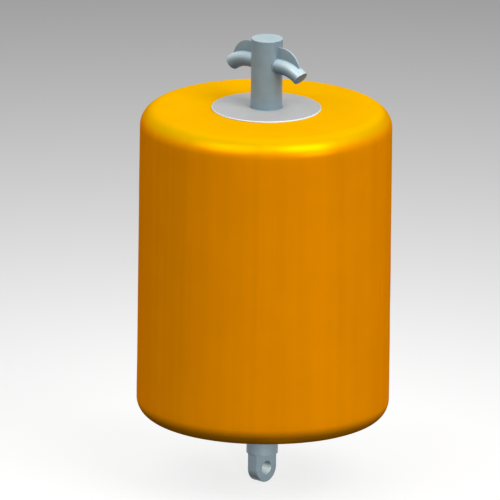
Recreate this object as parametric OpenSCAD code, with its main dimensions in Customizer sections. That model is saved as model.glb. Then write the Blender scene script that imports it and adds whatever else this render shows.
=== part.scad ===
// Anchor buoy: a foam-filled float on a steel through-pipe. Above the float the pipe is
// a lasso post with two bent horns, and below it carries a padeye for a shackle.
// Millimetres. +Z is up, the origin is on the axis at the service waterline, and the
// horns and the padeye's hole run along X.

/* [Float] */
// Diameter of the float
float_d = 1750; // [1200:10:2400]
// Height of the float between its flat ends
float_h = 2205; // [1500:5:3000]
// Radius of the float's rounded edges
float_edge_r = 130; // [60:5:250]
// Depth of the float's bottom below the service waterline
draught = 1330; // [400:10:1500]

/* [Through-pipe] */
// Outer diameter of the pipe
pipe_d = 219.1; // [193.7:0.1:273]
// Wall of the pipe
pipe_wall = 16; // [10:1:25]
// Height of the post above the top flange, with its cap
post_h = 495; // [400:1:700]
// Length of the stub below the bottom flange
stub_l = 256; // [200:1:400]
// Thickness of the post's cap
cap_t = 16; // [10:1:25]
// Chamfer round the top of the cap
cap_chamfer = 3; // [1:0.5:6]

/* [Flanges] */
// Diameter of the two flanges that hold the float on the pipe
flange_d = 762; // [500:1:1000]
// Thickness of the flanges
flange_t = 12; // [10:1:20]
// Share of the flanges' thickness that the rounding of their rims takes at each face
flange_edge_share = 0.4; // [0.1:0.05:0.45]

/* [Horns] */
// Diameter of the horns' round bar
horn_d = 110; // [70:1:130]
// Depth of the horns' roots below the top of the post
horn_depth = 180; // [140:1:260]
// Straight length of a horn between the pipe and its bend
horn_root_l = 44; // [15:1:80]
// Bend radius of a horn, at the middle of the bar
horn_bend_r = 268; // [200:1:450]
// Angle that a horn bends down
horn_bend_angle = 37; // [25:1:45]
// Length that a horn's root stands into the pipe's bore
horn_root_in = 12; // [5:1:30]
// Chamfer round the end of a horn
horn_chamfer = 3; // [1:0.5:6]

/* [Gussets] */
// Thickness of the gusset plates above the horns
gusset_t = 14; // [8:1:30]
// Depth of a gusset's level top edge below the top of the post
gusset_depth = 46; // [25:1:60]
// Radius of a gusset's round outer corner
gusset_corner_r = 155; // [100:1:200]
// Reach of a gusset from the pipe
gusset_reach = 199; // [160:1:220]

/* [Padeye] */
// Width of the padeye, and the diameter of its round end
padeye_w = 204; // [180:1:240]
// Thickness of the padeye
padeye_t = 86; // [60:1:110]
// Diameter of the shackle hole
padeye_hole_d = 90; // [60:1:110]
// Distance of the shackle hole below the end of the pipe
padeye_hole_drop = 105; // [80:1:160]
// Length of the padeye's tongue inside the pipe
padeye_tongue_l = 160; // [80:1:220]
// Thickness of the two half-moon plates that close the pipe beside the tongue
end_plate_t = 12; // [8:1:20]

/* [Fits] */
// Fit-up gap at welded and bonded seats
weld_gap = 0.3; // [0.1:0.1:0.5]

/* [Hidden] */
$fn = 128;
// Extra length of every cut past the face that it leaves
overrun = 5;

float_colour = [0.97, 0.64, 0.02];
steel_colour = [0.60, 0.66, 0.68];
plate_colour = [0.73, 0.73, 0.73];

float_bottom_z = -draught;
float_top_z = float_bottom_z + float_h;

pipe_r = pipe_d / 2;
pipe_bore_r = pipe_r - pipe_wall;
seat_r = pipe_r + weld_gap;
post_top_z = float_top_z + flange_t + post_h;
pipe_top_z = post_top_z - cap_t;
pipe_end_z = float_bottom_z - flange_t - stub_l;

flange_edge_r = flange_t * flange_edge_share;

horn_r = horn_d / 2;
horn_z = post_top_z - horn_depth;
horn_root_x = pipe_bore_r - horn_root_in;
horn_bend_x = pipe_r + horn_root_l;
horn_bend_z = horn_z - horn_bend_r;
horn_end_x = horn_bend_x + horn_bend_r * sin(horn_bend_angle);
horn_end_z = horn_bend_z + horn_bend_r * cos(horn_bend_angle);

gusset_top_z = post_top_z - gusset_depth;
gusset_corner_x = pipe_r + gusset_reach - gusset_corner_r;
gusset_corner_z = gusset_top_z - gusset_corner_r;
// Where the plane of the horn's end comes up to the top of the post
gusset_limit_x = horn_end_x + (post_top_z - horn_end_z) * tan(horn_bend_angle);

padeye_hole_z = pipe_end_z - padeye_hole_drop;
// The widest tongue of the padeye's thickness that goes into the pipe's bore
tongue_bore_r = pipe_bore_r - weld_gap;
padeye_tongue_w = 2 * sqrt(tongue_bore_r * tongue_bore_r - padeye_t * padeye_t / 4);

// Half section of a disc with a round hole and rounded outer edges, standing on z = 0
module disc_section(hole_r, outer_r, height, edge_r) {
    translate([hole_r, 0])
        square([outer_r - edge_r - hole_r, height]);
    translate([hole_r, edge_r])
        square([outer_r - hole_r, height - 2 * edge_r]);
    for (z = [edge_r, height - edge_r])
        translate([outer_r - edge_r, z])
            circle(edge_r);
}

// The float, moulded round the pipe
module float_body() {
    color(float_colour)
        translate([0, 0, float_bottom_z])
            rotate_extrude()
                disc_section(seat_r, float_d / 2, float_h, float_edge_r);
}

// The pipe from the cap to the padeye, with a hole through both walls for the horns
module centre_pipe() {
    color(steel_colour)
        difference() {
            translate([0, 0, pipe_end_z])
                cylinder(r = pipe_r, h = pipe_top_z - pipe_end_z);
            translate([0, 0, pipe_end_z - overrun])
                cylinder(r = pipe_bore_r, h = pipe_top_z - pipe_end_z + 2 * overrun);
            translate([0, 0, horn_z])
                rotate([0, 90, 0])
                    cylinder(r = horn_r + weld_gap, h = pipe_d + 2 * overrun, center = true);
        }
}

// The plate that closes the top of the pipe, with a chamfered rim
module post_cap() {
    color(steel_colour)
        translate([0, 0, pipe_top_z]) {
            cylinder(r = pipe_r, h = cap_t - cap_chamfer);
            translate([0, 0, cap_t - cap_chamfer])
                cylinder(r1 = pipe_r, r2 = pipe_r - cap_chamfer, h = cap_chamfer);
        }
}

// A flange standing on the height z
module flange(z) {
    color(plate_colour)
        translate([0, 0, z])
            rotate_extrude()
                disc_section(seat_r, flange_d / 2, flange_t, flange_edge_r);
}

module top_flange() {
    flange(float_top_z);
}

module bottom_flange() {
    flange(float_bottom_z - flange_t);
}

// The horn's bar at any radius, from x = start_x through its bend to its end
module horn_bar(bar_r, start_x) {
    translate([horn_bend_x, 0, horn_bend_z]) {
        translate([0, 0, horn_bend_r])
            rotate([0, -90, 0])
                cylinder(r = bar_r, h = horn_bend_x - start_x);
        rotate([90, 0, 0])
            rotate_extrude(angle = horn_bend_angle, start = 90 - horn_bend_angle)
                translate([horn_bend_r, 0])
                    circle(bar_r);
    }
}

// What a chamfer takes off the end of a round bar that ends at z = 0
module chamfer_cut(bar_r, chamfer) {
    cut_h = chamfer + 2 * overrun;
    translate([0, 0, -chamfer - overrun])
        difference() {
            cylinder(r = bar_r + overrun, h = cut_h);
            cylinder(r1 = bar_r + overrun, r2 = bar_r + overrun - cut_h, h = cut_h);
        }
}

module horn_right() {
    color(steel_colour)
        difference() {
            horn_bar(horn_r, horn_root_x);
            translate([horn_end_x, 0, horn_end_z])
                rotate([0, 90 + horn_bend_angle, 0])
                    chamfer_cut(horn_r, horn_chamfer);
        }
}

module horn_left() {
    mirror([1, 0, 0])
        horn_right();
}

// A gusset's outline above the middle of the horn: a level top edge and one round corner,
// with nothing past the plane of the horn's end
module gusset_outline() {
    intersection() {
        union() {
            translate([0, horn_end_z])
                square([gusset_corner_x, gusset_top_z - horn_end_z]);
            translate([gusset_corner_x, gusset_corner_z])
                circle(gusset_corner_r);
        }
        polygon([
            [0, horn_z],
            [horn_bend_x, horn_z],
            [horn_end_x, horn_end_z],
            [gusset_limit_x, post_top_z],
            [0, post_top_z]
        ]);
    }
}

// The gusset plate, coped to the post and to the bent horn that it stands on
module gusset_right() {
    color(steel_colour)
        difference() {
            rotate([90, 0, 0])
                linear_extrude(gusset_t, center = true)
                    gusset_outline();
            translate([0, 0, horn_end_z - overrun])
                cylinder(r = seat_r, h = post_top_z - horn_end_z + 2 * overrun);
            horn_bar(horn_r + weld_gap, 0);
        }
}

module gusset_left() {
    mirror([1, 0, 0])
        gusset_right();
}

// The padeye's outline: a round end about the hole, shoulders that seat on the end of
// the pipe, and a tongue that goes into its bore
module padeye_outline() {
    translate([0, padeye_hole_z])
        circle(d = padeye_w);
    translate([-padeye_w / 2, padeye_hole_z])
        square([padeye_w, padeye_hole_drop]);
    translate([-padeye_tongue_w / 2, pipe_end_z])
        square([padeye_tongue_w, padeye_tongue_l]);
}

module padeye() {
    color(steel_colour)
        difference() {
            rotate([90, 0, 90])
                linear_extrude(padeye_t, center = true)
                    padeye_outline();
            translate([0, 0, padeye_hole_z])
                rotate([0, 90, 0])
                    cylinder(d = padeye_hole_d, h = padeye_t + 2 * overrun, center = true);
        }
}

// Two half-moons that close the end of the pipe on both sides of the padeye
module pipe_end_plates() {
    color(steel_colour)
        translate([0, 0, pipe_end_z])
            difference() {
                cylinder(r = tongue_bore_r, h = end_plate_t);
                cube([padeye_t + 2 * weld_gap, pipe_d, pipe_d], center = true);
            }
}

float_body();
centre_pipe();
post_cap();
top_flange();
bottom_flange();
horn_right();
horn_left();
gusset_right();
gusset_left();
padeye();
pipe_end_plates();
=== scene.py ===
# %% [markdown]
# # Anchor buoy
# An anchor buoy marks an anchor and carries the weight of its pendant wire. This one is a
# round-edged foam float on a steel pipe. The pipe comes out on top as a post with two bent
# horns, which hold a wire eye down, and below it carries a padeye for a shackle.
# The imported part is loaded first. It is the fixed frame: nothing in it is moved, and every
# piece that is modelled below sits exactly where the frame says.

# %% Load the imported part
import math
import bmesh
import bpy
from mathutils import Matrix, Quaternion, Vector


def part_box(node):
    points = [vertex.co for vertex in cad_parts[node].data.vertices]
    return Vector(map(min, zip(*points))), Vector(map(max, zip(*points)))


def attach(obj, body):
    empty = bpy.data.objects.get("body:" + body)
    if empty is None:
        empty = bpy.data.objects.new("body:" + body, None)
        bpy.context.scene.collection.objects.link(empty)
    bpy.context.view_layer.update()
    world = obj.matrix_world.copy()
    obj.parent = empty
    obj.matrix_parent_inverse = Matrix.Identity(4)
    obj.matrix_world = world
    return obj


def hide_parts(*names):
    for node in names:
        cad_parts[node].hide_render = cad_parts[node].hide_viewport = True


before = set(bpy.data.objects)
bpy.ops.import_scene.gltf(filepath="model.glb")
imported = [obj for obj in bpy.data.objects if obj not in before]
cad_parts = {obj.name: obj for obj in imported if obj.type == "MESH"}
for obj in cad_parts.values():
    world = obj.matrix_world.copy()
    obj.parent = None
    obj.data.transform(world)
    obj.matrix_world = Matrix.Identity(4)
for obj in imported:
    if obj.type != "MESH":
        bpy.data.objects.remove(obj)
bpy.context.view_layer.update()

print("nodes:", sorted(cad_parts))

# %% [markdown]
# Sizes could be typed in, but then they would go stale when the part changes. So they are read
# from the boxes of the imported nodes. A box can't tell a bend or a corner radius: those few are
# written in metres, in the step that needs them.

# %% Sizes of the buoy
float_low, float_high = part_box("float_body")
pipe_low, pipe_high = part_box("centre_pipe")
cap_low, cap_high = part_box("post_cap")
gusset_low, gusset_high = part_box("gusset_right")
padeye_low, padeye_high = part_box("padeye")
flange_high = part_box("top_flange")[1]
lower_flange_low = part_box("bottom_flange")[0]
plates_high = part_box("pipe_end_plates")[1]

FLOAT_R = float_high.x
FLOAT_MIDDLE_Z = (float_low.z + float_high.z) / 2
PIPE_R = pipe_high.x
FLANGE_R = flange_high.x
print(f"float {2 * FLOAT_R:.3f} m across, post {2 * PIPE_R:.4f} m across")

# %% [markdown]
# The photograph has no perspective: the far rim of the float is as wide as the near one. A very
# long lens would come close to that, and an orthographic camera is exact. Its angles come from
# the ellipses of the flange and of the shackle hole, its scale from the width of the post, and
# it is tipped by less than a degree.

# %% Camera
CAMERA_AZIMUTH = math.radians(41.4)
CAMERA_ELEVATION = math.radians(15.75)
CAMERA_ROLL = math.radians(0.70)
CAMERA_DISTANCE = 12.0
IMAGE_PIXELS = 500
METRES_A_PIXEL = 0.00693
# Where the middle of the float shows, in pixels from the middle of the picture
FLOAT_PIXELS_RIGHT = 14.6
FLOAT_PIXELS_DOWN = 11.25

camera_back = Vector((
    math.sin(CAMERA_AZIMUTH) * math.cos(CAMERA_ELEVATION),
    -math.cos(CAMERA_AZIMUTH) * math.cos(CAMERA_ELEVATION),
    math.sin(CAMERA_ELEVATION),
))
camera_right = Vector((math.cos(CAMERA_AZIMUTH), math.sin(CAMERA_AZIMUTH), 0))
camera_up = camera_back.cross(camera_right)
looked_at = Vector((0, 0, FLOAT_MIDDLE_Z))
looked_at -= camera_right * FLOAT_PIXELS_RIGHT * METRES_A_PIXEL
looked_at += camera_up * FLOAT_PIXELS_DOWN * METRES_A_PIXEL

bpy.ops.object.select_all(action="DESELECT")
bpy.ops.object.camera_add(location=looked_at + camera_back * CAMERA_DISTANCE)
camera = bpy.context.object
camera.data.type = "ORTHO"
camera.data.ortho_scale = IMAGE_PIXELS * METRES_A_PIXEL
camera.rotation_mode = "QUATERNION"
level_turn = (-camera_back).to_track_quat("-Z", "Y")
camera.rotation_quaternion = level_turn @ Quaternion((0, 0, 1), CAMERA_ROLL)
bpy.context.scene.camera = camera
bpy.context.scene.view_settings.view_transform = "Standard"
print(f"orthographic camera, {camera.data.ortho_scale:.3f} m wide")

# %% [markdown]
# The light is plain. It starts with an even pale sky all round, which fills every shadow. A
# picture of a real sky would tint the paint and bring a sun of its own, so the sky is one
# colour. It is a node tree, as each material is later, so a helper adds a node and fills its
# inputs.

# %% The sky
SKY_LIGHT = 0.58


def add_node(tree, kind, **sockets):
    """Adds a node and fills its inputs: an output is linked, a plain value is set.

    An input is named by its label, or by _ and its number where labels repeat.
    """
    node = tree.nodes.new(kind)
    for name, value in sockets.items():
        numbered = name[1:].isdigit()
        socket = node.inputs[int(name[1:])] if numbered else node.inputs[name.replace("_", " ")]
        if isinstance(value, bpy.types.NodeSocket):
            tree.links.new(value, socket)
        else:
            socket.default_value = value
    return node


world = bpy.data.worlds.new("studio")
bpy.context.scene.world = world
world.use_nodes = True
sky_tree = world.node_tree
sky_tree.nodes.clear()
sky = add_node(sky_tree, "ShaderNodeBackground", Color=(1, 1, 1, 1), Strength=SKY_LIGHT)
add_node(sky_tree, "ShaderNodeOutputWorld", Surface=sky.outputs[0])
print("sky of strength", SKY_LIGHT)

# %% [markdown]
# Three suns stand round the buoy: a key from the right, a weaker fill from the left, and a low
# one, also on the right, that reaches under the float. Area lamps would fade with distance, and
# a sun lights the whole height evenly. The suns are wide, so highlights and shadows are soft.
# They are set so that a surface that faces up renders at about the colour that it is painted,
# and walls come out darker.

# %% The suns
# Each sun: how far right of the camera it stands, how high, how strong and how wide it is
SUNS = {
    "key": (math.radians(45), math.radians(45), 1.25, math.radians(40)),
    "fill": (math.radians(-40), math.radians(42), 0.70, math.radians(45)),
    "low": (math.radians(45), math.radians(8), 0.68, math.radians(26)),
}
front = Vector((camera_back.x, camera_back.y, 0)).normalized()


def add_lamp(name, kind, right, height, target, distance):
    """A lamp that looks at the target from an angle right of the camera and a height."""
    lamp_from = (front * math.cos(right) + camera_right * math.sin(right)) * math.cos(height)
    lamp_from.z = math.sin(height)
    bpy.ops.object.light_add(type=kind, location=target + lamp_from * distance)
    lamp = bpy.context.object
    lamp.name = name + "_lamp"
    lamp.rotation_mode = "QUATERNION"
    lamp.rotation_quaternion = lamp_from.to_track_quat("Z", "Y")
    print(f"{name} lamp from", [round(x, 2) for x in lamp_from])
    return lamp.data


for name, (right, height, strength, width) in SUNS.items():
    lamp = add_lamp(name, "SUN", right, height, Vector(), CAMERA_DISTANCE)
    lamp.energy = strength
    lamp.angle = width

# %% [markdown]
# The float shades the padeye from the suns. A stronger low sun would light the padeye, but also
# the float's dark lower edge. A narrow spot beside the camera reaches the padeye and little else.

# %% The spot
SPOT_RIGHT = math.radians(8)
SPOT_HEIGHT = math.radians(11)
SPOT_DISTANCE = 4.0
SPOT_POWER = 390
SPOT_COLOUR = (1.0, 0.93, 0.87)
SPOT_CONE = math.radians(6)
SPOT_SOFT_EDGE = 0.35
SPOT_R = 0.12
# How far below the end of the pipe the spot is aimed
SPOT_DROP = 0.06

foot = Vector((0, 0, pipe_low.z - SPOT_DROP))
spot = add_lamp("foot", "SPOT", SPOT_RIGHT, SPOT_HEIGHT, foot, SPOT_DISTANCE)
spot.energy = SPOT_POWER
spot.color = SPOT_COLOUR
spot.spot_size = SPOT_CONE
spot.spot_blend = SPOT_SOFT_EDGE
spot.shadow_soft_size = SPOT_R

# %% [markdown]
# A material starts as an empty node tree. A node editor has groups for what comes back, and in
# code a short function does the same: the distance from the middle, a mix of two colours, and
# a test of what kind of ray arrives.

# %% Helpers for materials
def new_material(name):
    """A material with an empty node tree."""
    material = bpy.data.materials.new(name)
    material.use_nodes = True
    material.node_tree.nodes.clear()
    return material, material.node_tree


def ray_looks(tree):
    """1 for a ray that shows the background: straight, in a reflection or through glass."""
    rays = add_node(tree, "ShaderNodeLightPath").outputs
    looks = add_node(tree, "ShaderNodeMath", _0=rays["Is Camera Ray"], _1=rays["Is Glossy Ray"])
    looks = add_node(tree, "ShaderNodeMath", _0=looks.outputs[0], _1=rays["Is Transmission Ray"])
    looks.use_clamp = True
    return looks.outputs[0]


def distance_from(tree, place):
    """How far a place is from the middle."""
    distance = add_node(tree, "ShaderNodeVectorMath", _0=place)
    distance.operation = "LENGTH"
    return distance.outputs["Value"]


def mixed_colour(tree, share, first, second):
    """The first colour where the share is 0, the second where it is 1."""
    mix = add_node(tree, "ShaderNodeMix", _0=share, _6=first, _7=second)
    mix.data_type = "RGBA"
    return mix.outputs[2]


# %% [markdown]
# The floor's paint is white round the buoy and turns grey with distance, which gives the
# picture its pale foot and grey top. A picture behind the buoy would fit one camera only, and
# colour by distance is right from any side. Three quarters of what the camera sees of the floor
# glows, which keeps the shadow pale. Light that bounces off it is darker than it looks, so that
# the float's underside stays in shade. From below it is clear.

# %% The floor's paint
FLOOR_WHITE_TO = 2.1
FLOOR_GREY_FROM = 12.5
FLOOR_GREY = 0.608
FLOOR_BOUNCE = (0.20, 0.20, 0.20, 1)
FLOOR_GLOW = 0.75
FLOOR_GLOW_LEVEL = 1.03
DISPLAY_GAMMA = 2.2


def studio_floor():
    """The floor's paint: white, then grey with the distance from the buoy."""
    material, tree = new_material("studio_floor")
    place = add_node(tree, "ShaderNodeTexCoord").outputs["Object"]
    shade = add_node(tree, "ShaderNodeMapRange", Value=distance_from(tree, place),
                     From_Min=FLOOR_WHITE_TO, From_Max=FLOOR_GREY_FROM, To_Min=1.0, To_Max=FLOOR_GREY)
    seen = add_node(tree, "ShaderNodeGamma", Color=shade.outputs[0], Gamma=DISPLAY_GAMMA).outputs[0]
    looks = ray_looks(tree)
    colour = mixed_colour(tree, looks, FLOOR_BOUNCE, seen)
    paint = add_node(tree, "ShaderNodeBsdfDiffuse", Color=colour).outputs[0]
    glow = add_node(tree, "ShaderNodeEmission", Color=seen, Strength=FLOOR_GLOW_LEVEL).outputs[0]
    share = add_node(tree, "ShaderNodeMapRange", Value=looks, To_Max=FLOOR_GLOW).outputs[0]
    pale = add_node(tree, "ShaderNodeMixShader", _0=share, _1=paint, _2=glow).outputs[0]
    clear = add_node(tree, "ShaderNodeBsdfTransparent").outputs[0]
    below = add_node(tree, "ShaderNodeNewGeometry").outputs["Backfacing"]
    seen_side = add_node(tree, "ShaderNodeMixShader", _0=below, _1=pale, _2=clear).outputs[0]
    add_node(tree, "ShaderNodeOutputMaterial", Surface=seen_side)
    return material


# %% [markdown]
# The floor itself is one wide disc, just under the padeye. A curved backdrop would have to turn
# with the camera, and a disc looks the same from all sides. It belongs to the studio and not to
# the buoy.

# %% The floor
FLOOR_R = 60.0
FLOOR_SIDES = 96
FLOOR_DROP = 0.006

bpy.ops.object.select_all(action="DESELECT")
bpy.ops.mesh.primitive_circle_add(vertices=FLOOR_SIDES, radius=FLOOR_R, fill_type="NGON")
floor = bpy.context.object
floor.name = "floor"
floor.location.z = padeye_low.z - FLOOR_DROP
floor.data.materials.append(studio_floor())
print("floor at", round(floor.location.z, 3))

# %% [markdown]
# Operators act on all that is selected, so every step begins with a selection. By hand that is
# a click. In code, one helper leaves a single object selected. Another gives a new primitive its
# name and writes its place into its mesh, so that the object itself sits at the origin.

# %% Helpers for objects
def select_only(piece):
    """Leaves one object selected and active, as a click on it does."""
    bpy.ops.object.select_all(action="DESELECT")
    piece.select_set(True)
    bpy.context.view_layer.objects.active = piece


def settle(name):
    """Names the new primitive and writes its place into its mesh."""
    piece = bpy.context.object
    piece.name = name
    piece.data.name = name
    select_only(piece)
    bpy.ops.object.transform_apply(location=True, rotation=True, scale=True)
    return piece


# %% [markdown]
# In edit mode, edges and faces could be picked by their numbers, but those change with every
# cut. Here they are picked by where they lie and where they look. A spin or a mirror can turn a
# shape inside out, so a third helper merges doubled points and turns every face outwards.

# %% Helpers for edit mode
SAME_POINT = 1e-5


def pick_edges(piece, wanted):
    """In edit mode, selects the edges that wanted(one end, other end) accepts."""
    bpy.ops.mesh.select_mode(type="EDGE")
    bpy.ops.mesh.select_all(action="DESELECT")
    mesh = bmesh.from_edit_mesh(piece.data)
    for edge in mesh.edges:
        if wanted(edge.verts[0].co, edge.verts[1].co):
            edge.select_set(True)
    bmesh.update_edit_mesh(piece.data)


def pick_faces(piece, wanted):
    """In edit mode, selects the faces that wanted(middle, normal) accepts."""
    bpy.ops.mesh.select_mode(type="FACE")
    bpy.ops.mesh.select_all(action="DESELECT")
    mesh = bmesh.from_edit_mesh(piece.data)
    for face in mesh.faces:
        if wanted(face.calc_center_median(), face.normal):
            face.select_set(True)
    bmesh.update_edit_mesh(piece.data)


def turn_outward():
    """In edit mode, merges doubled points and turns every face outwards."""
    bpy.ops.mesh.select_all(action="SELECT")
    bpy.ops.mesh.remove_doubles(threshold=SAME_POINT)
    bpy.ops.mesh.normals_make_consistent(inside=False)


# %% [markdown]
# Four more helpers work on whole pieces: applying a modifier, cutting one shape out of another,
# mirroring a piece to the other side, and handing a finished piece over to the frame. A mirror
# modifier would make one object of both sides, and each side is a piece of its own here, so a
# copy is mirrored.

# %% Helpers for whole pieces
def apply_modifier(piece, kind, **settings):
    """Adds a modifier with these settings and applies it."""
    select_only(piece)
    modifier = piece.modifiers.new(kind.lower(), kind)
    for name, value in settings.items():
        setattr(modifier, name, value)
    bpy.ops.object.modifier_apply(modifier=modifier.name)


def cut_out(piece, cutter):
    """Takes another object's shape out of a piece."""
    apply_modifier(piece, "BOOLEAN", object=cutter, operation="DIFFERENCE", solver="EXACT")


def mirrored(piece, name):
    """A copy of a piece, with its own mesh, on the other side of the post."""
    select_only(piece)
    bpy.ops.object.duplicate(linked=False)
    copy = bpy.context.object
    copy.name = name
    copy.data.name = name
    bpy.ops.object.mode_set(mode="EDIT")
    bpy.ops.mesh.select_all(action="SELECT")
    bpy.ops.transform.resize(value=(-1, 1, 1), center_override=(0, 0, 0))
    turn_outward()
    bpy.ops.object.mode_set(mode="OBJECT")
    return copy


def hand_over(piece, slot, *replaced):
    """Rides a piece on the buoy and hides the nodes that it stands for. Its slot is not used."""
    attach(piece, "root")
    if replaced:
        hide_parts(*replaced)
    print(f"{piece.name}: {len(piece.data.polygons)} faces")


# %% [markdown]
# The float is closed-cell foam under a sprayed elastomer skin, with round edges and a hole for
# the pipe. It could be an outline that is spun about the axis. A cylinder with a wide bevel is
# chosen, because the edge's radius then stays one number. The wall is cut into rings, and the
# flat ends are inset down to the pipe's hole, which is bridged.

# %% The float's skin
FLOAT_SIDES = 192
FLOAT_EDGE_R = 0.130
FLOAT_EDGE_STEPS = 14
FLOAT_WALL_CUTS = 36
# How far outside and inside the flange's rim a ring lies
RIM_RING_OFFSET = 0.03
# The rings on the flat ends, from the rounded edge to the pipe's hole
FLOAT_RING_RADII = (
    FLOAT_R - FLOAT_EDGE_R, 0.66, 0.56, 0.47,
    FLANGE_R + RIM_RING_OFFSET, FLANGE_R - RIM_RING_OFFSET, PIPE_R,
)
# Lengths that differ by less than this count as equal
TINY = 1e-4
# A face is level if its normal points up or down by more than this
LEVEL = 0.99


def end_disc(middle, normal):
    """Accepts the disc that is left in the middle of each flat end."""
    return abs(normal.z) > LEVEL and middle.xy.length < TINY


bpy.ops.object.select_all(action="DESELECT")
bpy.ops.mesh.primitive_cylinder_add(vertices=FLOAT_SIDES, radius=FLOAT_R, depth=float_high.z - float_low.z,
                                    location=(0, 0, FLOAT_MIDDLE_Z))
skin = settle("float_skin")
bpy.ops.object.mode_set(mode="EDIT")
pick_edges(skin, lambda a, b: abs(a.z - b.z) < TINY)
bpy.ops.mesh.bevel(offset=FLOAT_EDGE_R, segments=FLOAT_EDGE_STEPS, affect="EDGES")
pick_edges(skin, lambda a, b: abs(a.z - b.z) > FLOAT_R)
bpy.ops.mesh.subdivide(number_cuts=FLOAT_WALL_CUTS)
for ring_r, next_r in zip(FLOAT_RING_RADII, FLOAT_RING_RADII[1:]):
    pick_faces(skin, end_disc)
    bpy.ops.mesh.inset(thickness=ring_r - next_r)
pick_faces(skin, end_disc)
bpy.ops.mesh.delete(type="FACE")
bpy.ops.mesh.select_mode(type="EDGE")
bpy.ops.mesh.select_non_manifold()
bpy.ops.mesh.bridge_edge_loops()
bpy.ops.object.mode_set(mode="OBJECT")
print("skin cut into", len(skin.data.polygons), "faces")

# %% [markdown]
# The skin is thick and sprayed by hand, so its walls are never quite true. Sculpting could show
# that, but a texture gives the same waves on each run. A weak, slow cloud texture pushes the
# skin in and out by a few millimetres. The seat under the flange stays flat, because a vertex
# group keeps it out.

# %% The skin's waves
SKIN_WAVE = 0.38
SKIN_WAVE_HEIGHT = 0.003
SEAT_MARGIN = 0.05
SEAT_R = FLANGE_R + SEAT_MARGIN

moving = skin.vertex_groups.new(name="moving")
free_points = [point.index for point in skin.data.vertices if point.co.xy.length > SEAT_R]
moving.add(free_points, 1.0, "REPLACE")
waves = bpy.data.textures.new("skin_waves", type="CLOUDS")
waves.noise_scale = SKIN_WAVE
apply_modifier(skin, "DISPLACE", texture=waves, texture_coords="LOCAL", vertex_group="moving",
               strength=SKIN_WAVE_HEIGHT)
bpy.ops.object.shade_smooth()
hand_over(skin, "float_skin", "float_body")

# %% [markdown]
# A horn is one length of round bar: a straight root that goes through the wall of the post,
# and a bend. Its middle line is a straight and an arc, so a few values say all of it. The
# place of its end and the way that the end looks could be measured on the mesh, but they follow
# from the same values.

# %% The horns' sizes
HORN_R = 0.055
# How far the bar lies below the cap's top, goes into the post, and runs straight out of it
HORN_DROP = 0.180
HORN_SINK = 0.028
HORN_STRAIGHT = 0.044
HORN_Z = cap_high.z - HORN_DROP
HORN_ROOT_X = PIPE_R - HORN_SINK
HORN_BEND_X = PIPE_R + HORN_STRAIGHT
HORN_BEND_R = 0.268
HORN_BEND_Z = HORN_Z - HORN_BEND_R
HORN_BEND_ANGLE = math.radians(37)
end_way = Vector((math.cos(HORN_BEND_ANGLE), 0, -math.sin(HORN_BEND_ANGLE)))
end_middle = Vector((HORN_BEND_X + HORN_BEND_R * math.sin(HORN_BEND_ANGLE), 0,
                     HORN_BEND_Z + HORN_BEND_R * math.cos(HORN_BEND_ANGLE)))
print("horn's end at", [round(x, 3) for x in end_middle])

# %% [markdown]
# The bar could be a curve with a round section, but a spin keeps the bend's true radius and
# leaves an end that can be bevelled. By hand it is a circle, extruded along the root and then
# spun about the middle of the bend. The sawn end gets a small bevel with a second finish, where
# paint wears first.

# %% The horns
HORN_SIDES = 64
HORN_BEND_STEPS = 24
EDGE_WEAR = 0.003
EDGE_STEPS = 3
# The number of the material slot that worn edges have, after the paint in slot 0
EDGE_FINISH = 1
SMOOTH_UNDER = math.radians(35)
LYING = (0, math.pi / 2, 0)


def on_end(point):
    """Whether a point lies on the horn's sawn end."""
    return abs((point - end_middle).dot(end_way)) < TINY


bpy.ops.object.select_all(action="DESELECT")
bpy.ops.mesh.primitive_circle_add(vertices=HORN_SIDES, radius=HORN_R, fill_type="NGON",
                                  location=(HORN_ROOT_X, 0, HORN_Z), rotation=LYING)
horn = settle("horn_bar_right")
bpy.ops.object.mode_set(mode="EDIT")
bpy.ops.mesh.select_all(action="SELECT")
bpy.ops.mesh.extrude_region_move(TRANSFORM_OT_translate={"value": (HORN_BEND_X - HORN_ROOT_X, 0, 0)})
bpy.ops.mesh.spin(steps=HORN_BEND_STEPS, angle=HORN_BEND_ANGLE, center=(HORN_BEND_X, 0, HORN_BEND_Z),
                  axis=(0, -1, 0))
turn_outward()
pick_edges(horn, lambda a, b: on_end(a) and on_end(b))
bpy.ops.mesh.bevel(offset=EDGE_WEAR, segments=EDGE_STEPS, affect="EDGES", material=EDGE_FINISH)
bpy.ops.object.mode_set(mode="OBJECT")
bpy.ops.object.shade_smooth_by_angle(angle=SMOOTH_UNDER)
other_horn = mirrored(horn, "horn_bar_left")
hand_over(horn, "steel", "horn_right")
hand_over(other_horn, "steel", "horn_left")

# %% [markdown]
# A gusset is a plate that stiffens a horn. It stands on the bar and against the post, so only
# its level top and its round corner are free. It could be an outline that is extruded, but a
# block is quicker to change. The block is sunk into both, one edge is bevelled to the corner's
# radius, and the flame-cut edges are eased.

# %% The gusset's plate
GUSSET_REACH = 0.199
GUSSET_CORNER_R = 0.155
GUSSET_CORNER_STEPS = 24
GUSSET_SINK = 0.012
GUSSET_EASE = 0.0015
GUSSET_EASE_STEPS = 2
gusset_near = Vector((PIPE_R - GUSSET_SINK, gusset_low.y, gusset_high.z - GUSSET_CORNER_R - GUSSET_SINK))
gusset_far = Vector((PIPE_R + GUSSET_REACH, gusset_high.y, gusset_high.z))
gusset_middle = (gusset_near + gusset_far) / 2


def outer_corner(a, b):
    """Accepts the block's upper outer edge."""
    return min(a.x, b.x) > gusset_far.x - TINY and min(a.z, b.z) > gusset_far.z - TINY


def free_edge(a, b):
    """Accepts the edges of both faces, but not those that are sunk in the post and the bar."""
    along_face = abs(a.y - b.y) < TINY
    return along_face and max(a.z, b.z) > gusset_near.z + TINY and max(a.x, b.x) > gusset_near.x + TINY


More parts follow.
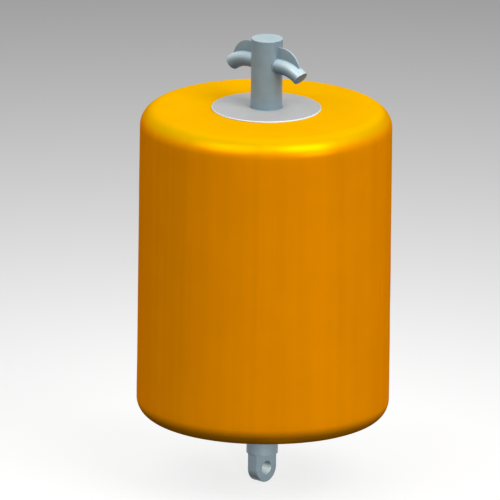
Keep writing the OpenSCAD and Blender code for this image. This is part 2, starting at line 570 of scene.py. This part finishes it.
bpy.ops.object.select_all(action="DESELECT")
bpy.ops.mesh.primitive_cube_add(size=1, location=gusset_middle, scale=gusset_far - gusset_near)
gusset = settle("gusset_plate_right")
bpy.ops.object.mode_set(mode="EDIT")
pick_edges(gusset, outer_corner)
bpy.ops.mesh.bevel(offset=GUSSET_CORNER_R, segments=GUSSET_CORNER_STEPS, affect="EDGES")
pick_edges(gusset, free_edge)
bpy.ops.mesh.bevel(offset=GUSSET_EASE, segments=GUSSET_EASE_STEPS, affect="EDGES", material=EDGE_FINISH)
bpy.ops.object.mode_set(mode="OBJECT")
print(f"gusset's block reaches {gusset_far.x:.3f} m from the axis")

# %% [markdown]
# In the workshop such a plate is coped: cut to the curve of what it stands on. The curve could
# be worked out point by point, but a boolean finds it by itself. So a cylinder of the post's
# size and the bar are cut out of the block, and the plate is mirrored for the other horn.

# %% The gussets
POST_SIDES = 256

bpy.ops.object.select_all(action="DESELECT")
bpy.ops.mesh.primitive_cylinder_add(vertices=POST_SIDES, radius=PIPE_R, depth=2 * GUSSET_REACH,
                                    location=(0, 0, gusset_middle.z))
post_shape = settle("post_shape")
cut_out(gusset, post_shape)
cut_out(gusset, horn)
bpy.data.objects.remove(post_shape)
bpy.ops.object.shade_smooth_by_angle(angle=SMOOTH_UNDER)
other_gusset = mirrored(gusset, "gusset_plate_left")
hand_over(gusset, "steel", "gusset_right")
hand_over(other_gusset, "steel", "gusset_left")

# %% [markdown]
# The padeye is a thick flame-cut lug with a round end and a drilled hole for a shackle pin.
# Its shoulders seat on the end of the pipe, and a narrower tongue goes up into the bore. An
# outline could be drawn and extruded, but a lying cylinder brings the round end with it. Its
# upper half is cut off, the cut is extruded up to the shoulders, and the middle of that face
# on into the tongue.

# %% The padeye's blank
PADEYE_SIDES = 128
PADEYE_HOLE_DROP = 0.105
PADEYE_HOLE_Z = pipe_low.z - PADEYE_HOLE_DROP
padeye_r = PADEYE_HOLE_Z - padeye_low.z
padeye_t = padeye_high.x - padeye_low.x
tongue_y = math.sqrt(plates_high.x ** 2 - padeye_high.x ** 2)


def shoulder_face(middle, normal):
    """Accepts level faces that look up."""
    return normal.z > LEVEL


bpy.ops.object.select_all(action="DESELECT")
bpy.ops.mesh.primitive_cylinder_add(vertices=PADEYE_SIDES, radius=padeye_r, depth=padeye_t,
                                    location=(0, 0, PADEYE_HOLE_Z), rotation=LYING)
padeye = settle("padeye_lug")
bpy.ops.object.mode_set(mode="EDIT")
bpy.ops.mesh.select_all(action="SELECT")
bpy.ops.mesh.bisect(plane_co=(0, 0, PADEYE_HOLE_Z), plane_no=(0, 0, 1), use_fill=True, clear_outer=True)
pick_faces(padeye, shoulder_face)
bpy.ops.mesh.extrude_region_move(TRANSFORM_OT_translate={"value": (0, 0, pipe_low.z - PADEYE_HOLE_Z)})
for y in (-tongue_y, tongue_y):
    pick_faces(padeye, shoulder_face)
    bpy.ops.mesh.bisect(plane_co=(0, y, 0), plane_no=(0, 1, 0))
pick_faces(padeye, lambda middle, normal: shoulder_face(middle, normal) and abs(middle.y) < TINY)
bpy.ops.mesh.extrude_region_move(TRANSFORM_OT_translate={"value": (0, 0, padeye_high.z - pipe_low.z)})
bpy.ops.object.mode_set(mode="OBJECT")
print(f"tongue {2 * tongue_y:.3f} m wide, {padeye_high.z - pipe_low.z:.3f} m long")

# %% [markdown]
# The hole is drilled, as in the workshop: a second cylinder cuts it as a boolean. An inset would
# follow the lug's own outline, so it can't give a round hole. The hole's wall, where the
# shackle's pin turns, gets a third finish, which carries painted light and shade. A bevel then
# eases each edge, with the second finish.

# %% The padeye's hole and edges
PADEYE_HOLE_R = 0.045
PADEYE_EASE = 0.005
PADEYE_EASE_OVER = math.radians(40)
HOLE_FINISH = 2

bpy.ops.object.select_all(action="DESELECT")
bpy.ops.mesh.primitive_cylinder_add(vertices=PADEYE_SIDES, radius=PADEYE_HOLE_R, depth=2 * padeye_t,
                                    location=(0, 0, PADEYE_HOLE_Z), rotation=LYING)
drill = settle("drill")
cut_out(padeye, drill)
bpy.data.objects.remove(drill)
for face in padeye.data.polygons:
    from_axis = math.hypot(face.center.y, face.center.z - PADEYE_HOLE_Z)
    if abs(face.normal.x) < TINY and from_axis < PADEYE_HOLE_R:
        face.material_index = HOLE_FINISH
apply_modifier(padeye, "BEVEL", width=PADEYE_EASE, segments=EDGE_STEPS, limit_method="ANGLE",
               angle_limit=PADEYE_EASE_OVER, material=EDGE_FINISH)
apply_modifier(padeye, "WEIGHTED_NORMAL", keep_sharp=True)
hand_over(padeye, "steel", "padeye")

# %% [markdown]
# Everything steel is welded, and a hand weld is a row of small ripples. Each ripple takes a few
# points, and the corners of a line lie too far apart for that. Subdividing would leave uneven
# steps, so the line is walked along in even ones. The line that comes back most is a ring.

# %% Points along a weld
WELD_STEP = 0.0024
# How thick the bead is at each point of a ripple, as a share of its radius
WELD_RIPPLES = (1.10, 1.02, 0.88)
RING_STEPS = 180


def even_points(line, closed):
    """Points at even steps along a line that is given as a list of points."""
    line = [Vector(place) for place in line]
    if closed:
        line.append(line[0])
    lengths = [(b - a).length for a, b in zip(line, line[1:])]
    count = max(2, round(sum(lengths) / WELD_STEP))
    count -= count % len(WELD_RIPPLES)
    points = []
    start = 0.0
    span = 0
    for i in range(count if closed else count + 1):
        along = sum(lengths) * i / count
        while span < len(lengths) - 1 and along > start + lengths[span]:
            start += lengths[span]
            span += 1
        share = min(1.0, (along - start) / lengths[span])
        points.append(line[span].lerp(line[span + 1], share))
    return points


def ring_line(radius, z):
    """Points on a level circle."""
    turns = [2 * math.pi * i / RING_STEPS for i in range(RING_STEPS)]
    return [(radius * math.cos(turn), radius * math.sin(turn), z) for turn in turns]


# %% [markdown]
# Ripples could be painted on as bump, but a bead stands out from the plates and shows in the
# outline. So it is drawn as a curve with a round section: the radii at its points rise and
# fall, and the tube comes out rippled. Half of it is sunk in the plates, and the free half is
# the weld. Beads that belong together are joined into one piece.

# %% A weld bead
WELD_DRIFT = 0.08
WELD_DRIFT_STEPS = 17.3
WELD_SECTION_STEPS = 2


def weld_bead(name, line, bead_r, closed=False):
    """A rippled weld bead along a line of points, as a mesh."""
    curve = bpy.data.curves.new(name, "CURVE")
    curve.dimensions = "3D"
    curve.bevel_depth = bead_r
    curve.bevel_resolution = WELD_SECTION_STEPS
    curve.use_fill_caps = not closed
    points = even_points(line, closed)
    spline = curve.splines.new("POLY")
    spline.points.add(len(points) - 1)
    spline.use_cyclic_u = closed
    for i, place in enumerate(points):
        spline.points[i].co = (*place, 1)
        drift = WELD_DRIFT * math.sin(i / WELD_DRIFT_STEPS) * math.sin(math.pi * i / len(points))
        spline.points[i].radius = WELD_RIPPLES[i % len(WELD_RIPPLES)] + drift
    bead = bpy.data.objects.new(name, curve)
    bpy.context.scene.collection.objects.link(bead)
    select_only(bead)
    bpy.ops.object.convert(target="MESH")
    bpy.ops.object.mode_set(mode="EDIT")
    turn_outward()
    bpy.ops.object.mode_set(mode="OBJECT")
    bpy.ops.object.shade_smooth()
    return bpy.context.object


def joined(name, beads):
    """One piece from several beads."""
    select_only(beads[0])
    for bead in beads[1:]:
        bead.select_set(True)
    bpy.ops.object.join()
    piece = bpy.context.object
    piece.name = name
    piece.data.name = name
    return piece


# %% [markdown]
# A weld follows the line where two pieces meet. Where the round bar enters the round pipe, that
# line is a saddle, and each of its points lies on both. A gusset's line runs down the post and
# then along the bent bar, as far as the plate's tip. Edges picked from the meshes would give
# these lines in loose pieces, and a formula gives them in order.

# %% The lines of the head's welds
SEAM_STEPS = 60


def horn_saddle():
    """The line where the horn enters the post: on the bar and on the pipe at once."""
    line = []
    for i in range(2 * SEAM_STEPS):
        turn = math.pi * i / SEAM_STEPS
        y = HORN_R * math.sin(turn)
        line.append((math.sqrt(PIPE_R ** 2 - y ** 2), y, HORN_Z + HORN_R * math.cos(turn)))
    return line


def gusset_seam(y):
    """Down one face of the gusset along the post, then along the bar to the gusset's tip."""
    on_post = math.sqrt(PIPE_R ** 2 - y ** 2)
    on_bar = math.sqrt(HORN_R ** 2 - y ** 2)
    corner_x = gusset_far.x - GUSSET_CORNER_R
    corner_z = gusset_far.z - GUSSET_CORNER_R
    line = [(on_post, y, gusset_far.z), (on_post, y, HORN_Z + on_bar), (HORN_BEND_X, y, HORN_Z + on_bar)]
    for i in range(1, SEAM_STEPS):
        turn = HORN_BEND_ANGLE * i / SEAM_STEPS
        x = HORN_BEND_X + (HORN_BEND_R + on_bar) * math.sin(turn)
        z = HORN_BEND_Z + (HORN_BEND_R + on_bar) * math.cos(turn)
        if x > corner_x and math.hypot(x - corner_x, z - corner_z) > GUSSET_CORNER_R:
            break
        line.append((x, y, z))
    return line


print("gusset's tip at", [round(x, 3) for x in gusset_seam(0)[-1]])

# %% [markdown]
# On the head, a bead runs round the root of each horn and along both faces of each gusset, and
# rings run round the foot of the post and under the cap. Each bead could be drawn by itself, but
# the two sides are alike, so the left ones are the mirror image of the right ones.

# %% Welds on the head
FILLET_R = 0.0055
CAP_BEAD_R = 0.0028
GUSSET_BEAD_R = 0.0045

right_beads = [
    weld_bead("weld_horn", horn_saddle(), FILLET_R, closed=True),
    weld_bead("weld_gusset_front", gusset_seam(gusset_low.y), GUSSET_BEAD_R),
    weld_bead("weld_gusset_back", gusset_seam(gusset_high.y), GUSSET_BEAD_R),
]
left_beads = [mirrored(bead, bead.name + "_left") for bead in right_beads]
ring_beads = [
    weld_bead("weld_post_foot", ring_line(PIPE_R, flange_high.z), FILLET_R, closed=True),
    weld_bead("weld_cap", ring_line(PIPE_R - CAP_BEAD_R / 2, cap_low.z), CAP_BEAD_R, closed=True),
]
head_welds = joined("head_welds", right_beads + left_beads + ring_beads)
hand_over(head_welds, "steel")

# %% [markdown]
# Below, a ring runs round the stub under the lower flange, and a bead runs round the padeye's
# shoulders on the end of the pipe. A welder takes it round the corners in a small curve, and a
# tube drawn round a sharp corner would swell. The half-moon plates are sealed along their arcs.

# %% Welds on the foot
SEAL_R = 0.004
TURN_R = 0.014
TURN_STEPS = 8


def shoulder_line():
    """Points round the padeye at the end of the pipe, with a small curve at each corner."""
    line = []
    for quarter, (side_x, side_y) in enumerate(((1, 1), (-1, 1), (-1, -1), (1, -1))):
        for i in range(TURN_STEPS + 1):
            turn = (quarter + i / TURN_STEPS) * math.pi / 2
            x = side_x * (padeye_high.x - TURN_R) + TURN_R * math.cos(turn)
            y = side_y * (padeye_high.y - TURN_R) + TURN_R * math.sin(turn)
            line.append((x, y, pipe_low.z))
    return line


plate_arc = [place for place in ring_line(plates_high.x, pipe_low.z) if place[0] > padeye_high.x]
plate_arc.sort(key=lambda place: place[1])
plate_bead = weld_bead("weld_plate", plate_arc, SEAL_R)
foot_welds = joined("foot_welds", [
    weld_bead("weld_stub", ring_line(PIPE_R, lower_flange_low.z), FILLET_R, closed=True),
    weld_bead("weld_padeye", shoulder_line(), FILLET_R, closed=True),
    plate_bead,
    mirrored(plate_bead, "weld_plate_left"),
])
hand_over(foot_welds, "steel")

# %% [markdown]
# A finish could be a picture on a UV map, but a picture is sharp at one distance only. Here it
# is made of cloudy noise, and every pattern reads Object coordinates in metres, so it stays at
# its real size and in its place from any side. Helpers give noise of a known size, one value
# mapped to another, a stretched pattern and a fine raised texture.

# %% Helpers for patterns
BUMP_STRENGTH = 0.4
# Most of the cloudy noise lies between these values
NOISE_LOW = 0.3
NOISE_HIGH = 0.7
# How many finer layers a noise has, from smooth to crumbly
GRAIN_DETAIL = 1
CLOUD_DETAIL = 2
BLOTCH_DETAIL = 5


def clouds(tree, place, size, detail=CLOUD_DETAIL):
    """Cloudy noise from 0 to 1, with spots of about this size in metres."""
    return add_node(tree, "ShaderNodeTexNoise", Vector=place, Scale=1 / size, Detail=detail).outputs[0]


def mapped(tree, value, low, high, at_low, at_high):
    """Turns low into at_low and high into at_high, evenly between and not beyond."""
    return add_node(tree, "ShaderNodeMapRange", Value=value, From_Min=low, From_Max=high,
                    To_Min=at_low, To_Max=at_high).outputs[0]


def spread(tree, noise, at_low, at_high):
    """Turns cloudy noise into values from at_low to at_high."""
    return mapped(tree, noise, NOISE_LOW, NOISE_HIGH, at_low, at_high)


def stretched(tree, place, stretch):
    """A place with each of its coordinates multiplied."""
    node = add_node(tree, "ShaderNodeVectorMath", _0=place, _1=stretch)
    node.operation = "MULTIPLY"
    return node.outputs[0]


def textured(tree, place, size, height):
    """A fine raised texture, with grains of this size and height in metres."""
    return add_node(tree, "ShaderNodeBump", Strength=BUMP_STRENGTH, Distance=height,
                    Height=clouds(tree, place, size, GRAIN_DETAIL)).outputs[0]


# %% [markdown]
# Faces that look up are painted lighter and faces that look down darker: painted light and
# shade, as the lamps would give it. That could be painted by hand on every piece. A colour ramp
# that reads how far a face looks up does it for all of them, and the ramp's alpha carries the
# sheen that goes with each tone. Another helper makes a colour darker or lighter in blotches.

# %% Helpers for tones
def scaled(tree, colour, factor):
    """A colour made darker or lighter by a factor."""
    node = add_node(tree, "ShaderNodeVectorMath", _0=colour)
    node.operation = "SCALE"
    tree.links.new(factor, node.inputs["Scale"])
    return node.outputs[0]


def painted_light_and_sheen(tree, tones):
    """Painted light and shade, and sheen, by how far a face looks up: -1 is down, 0 a wall and 1 up."""
    normal = add_node(tree, "ShaderNodeNewGeometry").outputs["Normal"]
    up = add_node(tree, "ShaderNodeSeparateXYZ", Vector=normal).outputs["Z"]
    ramp = add_node(tree, "ShaderNodeValToRGB", Fac=mapped(tree, up, -1, 1, 0, 1))
    stops = ramp.color_ramp.elements
    for stop, (height, colour, sheen) in zip(stops, (tones[0], tones[-1])):
        stop.position = (height + 1) / 2
        stop.color = (*colour, sheen)
    for height, colour, sheen in tones[1:-1]:
        stops.new((height + 1) / 2).color = (*colour, sheen)
    return ramp.outputs["Color"], ramp.outputs["Alpha"]


# %% [markdown]
# Faint upright bands of painted light and shade run down the float's wall. Streaks could be
# drawn one by one, but clouds that are stretched along the height look the same and take one
# node. They fade out over the rounded edge.

# %% The skin's painted shade bands
SHADE_BAND_SIZE = 0.07
SHADE_BAND_STRETCH = (1, 1, 0.02)
SHADE_BAND_DEPTH = 0.030


def painted_shade_bands(tree, place):
    """Painted shade bands: a factor near 1 that is the same all the way down the wall, and 1 on the
    float's top.
    """
    height = add_node(tree, "ShaderNodeSeparateXYZ", Vector=place).outputs["Z"]
    bands = clouds(tree, stretched(tree, place, SHADE_BAND_STRETCH), SHADE_BAND_SIZE)
    bands = spread(tree, bands, 1 - SHADE_BAND_DEPTH, 1 + SHADE_BAND_DEPTH)
    on_wall = mapped(tree, height, float_high.z - FLOAT_EDGE_R, float_high.z, 1, 0)
    return add_node(tree, "ShaderNodeMix", _0=on_wall, _2=1.0, _3=bands).outputs[0]


# %% [markdown]
# The skin is sprayed polyurethane: signal orange, satin, with a fine orange-peel surface. It
# shines in its own colour, which a clear dielectric gloss can't do. So the clear gloss is
# switched off, and a small metallic share gives a broad sheen that stays orange at any angle.
# The rounded edge is painted yellower, a painted highlight, and has the largest metallic share,
# so it shines most. The underside is painted darker, as painted shade.

# %% The float's finish
# Each tone: how far the face looks up, its colour and its sheen. The colours are painted light
# and shade: dark below as painted shade, the rounded edge yellower as a painted highlight.
SKIN_TONES = (
    (-0.5, (0.30, 0.115, 0.0), 0.05),
    (0.0, (0.74, 0.240, 0.0), 0.10),
    (0.3, (0.95, 0.330, 0.0), 0.40),
    (0.75, (1.00, 0.580, 0.0), 0.58),
    (0.97, (1.00, 0.500, 0.0), 0.05),
)
SKIN_TONE_SIZE = 0.30
SKIN_TONE_DETAIL = 4
SKIN_TONE_DEPTH = 0.025
SKIN_PEEL_SIZE = 0.008
SKIN_PEEL_HEIGHT = 0.0003
SKIN_SHEEN_TINT = (1.0, 0.20, 0.0, 1)
SKIN_ROUGH = (0.34, 0.40)
SKIN_ROUGH_SIZE = 0.075


def elastomer_skin():
    """The float's sprayed skin."""
    material, tree = new_material("elastomer_skin")
    place = add_node(tree, "ShaderNodeTexCoord").outputs["Object"]
    blotches = clouds(tree, place, SKIN_TONE_SIZE, SKIN_TONE_DETAIL)
    # Lighter up and darker down: painted light and shade, with the edge's painted highlight
    colour, sheen = painted_light_and_sheen(tree, SKIN_TONES)
    colour = scaled(tree, colour, spread(tree, blotches, 1 - SKIN_TONE_DEPTH, 1 + SKIN_TONE_DEPTH))
    # Faint upright bands of painted light and shade on the wall
    colour = scaled(tree, colour, painted_shade_bands(tree, place))
    rough = spread(tree, clouds(tree, place, SKIN_ROUGH_SIZE), *SKIN_ROUGH)
    shader = add_node(tree, "ShaderNodeBsdfPrincipled", Base_Color=colour, Roughness=rough, Metallic=sheen,
                      Specular_IOR_Level=0, Specular_Tint=SKIN_SHEEN_TINT,
                      Normal=textured(tree, place, SKIN_PEEL_SIZE, SKIN_PEEL_HEIGHT))
    add_node(tree, "ShaderNodeOutputMaterial", Surface=shader.outputs[0])
    return material


skin.data.materials.append(elastomer_skin())
print("float's finish:", len(skin.data.materials[0].node_tree.nodes), "nodes")

# %% [markdown]
# The steel is painted blue-grey. Paint on rolled plate is a little cloudy and has a fine
# texture from the roller. All steel is painted lighter on faces that look up and darker on those
# that look down, as painted light and shade. The horns' upper sides are painted palest and are
# more metallic: a painted highlight along their tops. Weld beads keep a plain dark coat. Three
# separate materials would drift apart when one is changed, so all three are one recipe with
# other tones.

# %% The steel's paint
# Each tone: how far the face looks up, its colour and its sheen. Lighter up and darker down: painted light
# and shade.
PAINT_TONES = (
    (-0.6, (0.015, 0.025, 0.035), 0.05),
    (-0.1, (0.20, 0.28, 0.33), 0.10),
    (0.15, (0.22, 0.30, 0.35), 0.10),
    (0.8, (0.53, 0.69, 0.75), 0.30),
)
# The horns: palest on top as a painted highlight, dark and bluish below as painted shade
HORN_TONES = (
    (-0.6, (0.035, 0.115, 0.26), 0.05),
    (-0.1, (0.13, 0.21, 0.28), 0.10),
    (0.2, (0.27, 0.37, 0.43), 0.25),
    (0.8, (0.74, 0.91, 0.97), 0.45),
)
# The welds: one dark coat, darker still below as painted shade
WELD_TONES = (
    (-0.6, (0.055, 0.12, 0.22), 0.05),
    (0.0, (0.20, 0.29, 0.35), 0.10),
    (0.9, (0.23, 0.32, 0.38), 0.10),
)
PAINT_TONE_SIZE = 0.09
PAINT_TONE_DEPTH = 0.05
PAINT_PEEL_SIZE = 0.004
PAINT_PEEL_HEIGHT = 0.0002
PAINT_ROUGH = (0.30, 0.38)
PAINT_ROUGH_SIZE = 0.03


def painted_steel(name, tones):
    """Blue-grey paint on plate, pipe and bar, with painted light and shade by facing."""
    material, tree = new_material(name)
    place = add_node(tree, "ShaderNodeTexCoord").outputs["Object"]
    blotches = clouds(tree, place, PAINT_TONE_SIZE, BLOTCH_DETAIL)
    # Lighter up and darker down: painted light and shade
    colour, sheen = painted_light_and_sheen(tree, tones)
    colour = scaled(tree, colour, spread(tree, blotches, 1 - PAINT_TONE_DEPTH, 1 + PAINT_TONE_DEPTH))
    rough = spread(tree, clouds(tree, place, PAINT_ROUGH_SIZE), *PAINT_ROUGH)
    shader = add_node(tree, "ShaderNodeBsdfPrincipled", Base_Color=colour, Roughness=rough, Metallic=sheen,
                      Normal=textured(tree, place, PAINT_PEEL_SIZE, PAINT_PEEL_HEIGHT))
    add_node(tree, "ShaderNodeOutputMaterial", Surface=shader.outputs[0])
    return material


plate_paint = painted_steel("painted_steel", PAINT_TONES)
horn_paint = painted_steel("horn_paint_painted_highlight", HORN_TONES)
weld_paint = painted_steel("painted_weld", WELD_TONES)
print("paint:", len(plate_paint.node_tree.nodes), "nodes")

# %% [markdown]
# Edges lose their paint first. A mask by curvature could find them, but the bevels already know
# where they are. So edges have the second slot of their piece: bare steel, blotchy, lighter and
# more metallic, and painted paler up and darker down as painted light and shade. The padeye's
# hole has a third slot, painted palest on its lower side and dark on its upper side: painted
# light and shade in the hole.

# %% The bare steel
# Bare steel: paler up and darker down, as painted light and shade
BARE_TONES = (
    (-0.5, (0.05, 0.06, 0.07), 0.2),
    (0.0, (0.42, 0.50, 0.54), 0.3),
    (0.7, (0.92, 0.96, 0.98), 0.2),
)
# The hole: palest on its lower side and dark on its upper side, as painted light and shade
BORE_TONES = (
    (-0.5, (0.14, 0.17, 0.18), 0.20),
    (0.0, (0.46, 0.55, 0.60), 0.05),
    (0.45, (0.84, 0.98, 1.0), 0.0),
)
BARE_SPOT_SIZE = 0.015
BARE_TONE_DEPTH = 0.12
BARE_ROUGH = (0.45, 0.30)
BORE_ROUGH = (0.60, 0.50)


def bare_steel(name, tones, roughness):
    """Steel where the paint is rubbed off, with painted light and shade by facing."""
    material, tree = new_material(name)
    place = add_node(tree, "ShaderNodeTexCoord").outputs["Object"]
    rubbed = clouds(tree, place, BARE_SPOT_SIZE, BLOTCH_DETAIL)
    # Lighter up and darker down: painted light and shade
    colour, sheen = painted_light_and_sheen(tree, tones)
    colour = scaled(tree, colour, spread(tree, rubbed, 1 - BARE_TONE_DEPTH, 1 + BARE_TONE_DEPTH))
    rough = spread(tree, rubbed, *roughness)
    shader = add_node(tree, "ShaderNodeBsdfPrincipled", Base_Color=colour, Roughness=rough, Metallic=sheen)
    add_node(tree, "ShaderNodeOutputMaterial", Surface=shader.outputs[0])
    return material


steel_bare = bare_steel("bare_steel", BARE_TONES, BARE_ROUGH)
steel_bore = bare_steel("bore_painted_light", BORE_TONES, BORE_ROUGH)
print("bare steel:", len(steel_bare.node_tree.nodes), "nodes")

# %% [markdown]
# Each piece now gets its slots in order: paint, bare edges and, on the padeye, the hole with its
# painted light.
# The imported pipe, cap and end plates show their own meshes. They could be modelled again with
# worn edges, but they hardly show one, so only their slots are filled.

# %% Paint and bare steel on the pieces
for piece, paint in ((horn, horn_paint), (other_horn, horn_paint), (gusset, plate_paint),
                     (other_gusset, plate_paint), (padeye, plate_paint)):
    piece.data.materials.append(paint)
    piece.data.materials.append(steel_bare)
padeye.data.materials.append(steel_bore)
for piece in (head_welds, foot_welds):
    piece.data.materials.append(weld_paint)
for name in ("centre_pipe", "post_cap", "pipe_end_plates"):
    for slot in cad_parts[name].material_slots:
        slot.material = plate_paint
print("padeye's slots:", [material.name for material in padeye.data.materials])

# %% [markdown]
# The flanges are plain plate with a light grey primer, turned on the rim. The turned rim is
# painted bright and a little blue: a painted highlight. It could have a slot of its own, but the
# imported mesh stays as it is, so the rim is told apart by its distance from the buoy's axis. The
# primer is painted lighter on top and darker below, as painted light and shade.

# %% The flanges' finish
# The primer: lighter up and darker down, as painted light and shade
PRIMER_TONES = (
    (-1.0, (0.24, 0.24, 0.24), 0.0),
    (0.0, (0.42, 0.42, 0.42), 0.0),
    (0.9, (0.53, 0.53, 0.53), 0.0),
)
PRIMER_TONE_SIZE = 0.12
PRIMER_TONE_DEPTH = 0.035
PRIMER_ROUGH = (0.55, 0.34)
# The rim's colour is a painted highlight
RIM_HIGHLIGHT_COLOUR = (0.72, 0.84, 0.97, 1)
RIM_WIDTH = 0.006
FLATTENED = (1, 1, 0)


def primed_plate():
    """Light grey primer, painted lighter up and darker down, with a painted highlight on the rim."""
    material, tree = new_material("primed_plate")
    place = add_node(tree, "ShaderNodeTexCoord").outputs["Object"]
    from_axis = distance_from(tree, stretched(tree, place, FLATTENED))
    rim = mapped(tree, from_axis, FLANGE_R - RIM_WIDTH, FLANGE_R - RIM_WIDTH / 2, 0, 1)
    blotches = clouds(tree, place, PRIMER_TONE_SIZE, BLOTCH_DETAIL)
    # Lighter up and darker down: painted light and shade
    primer = painted_light_and_sheen(tree, PRIMER_TONES)[0]
    primer = scaled(tree, primer, spread(tree, blotches, 1 - PRIMER_TONE_DEPTH, 1 + PRIMER_TONE_DEPTH))
    colour = mixed_colour(tree, rim, primer, RIM_HIGHLIGHT_COLOUR)
    rough = mapped(tree, rim, 0, 1, *PRIMER_ROUGH)
    shader = add_node(tree, "ShaderNodeBsdfPrincipled", Base_Color=colour, Roughness=rough,
                      Normal=textured(tree, place, PAINT_PEEL_SIZE, PAINT_PEEL_HEIGHT))
    add_node(tree, "ShaderNodeOutputMaterial", Surface=shader.outputs[0])
    return material


plate_primer = primed_plate()
for name in ("top_flange", "bottom_flange"):
    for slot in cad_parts[name].material_slots:
        slot.material = plate_primer
print("primer:", len(plate_primer.node_tree.nodes), "nodes")
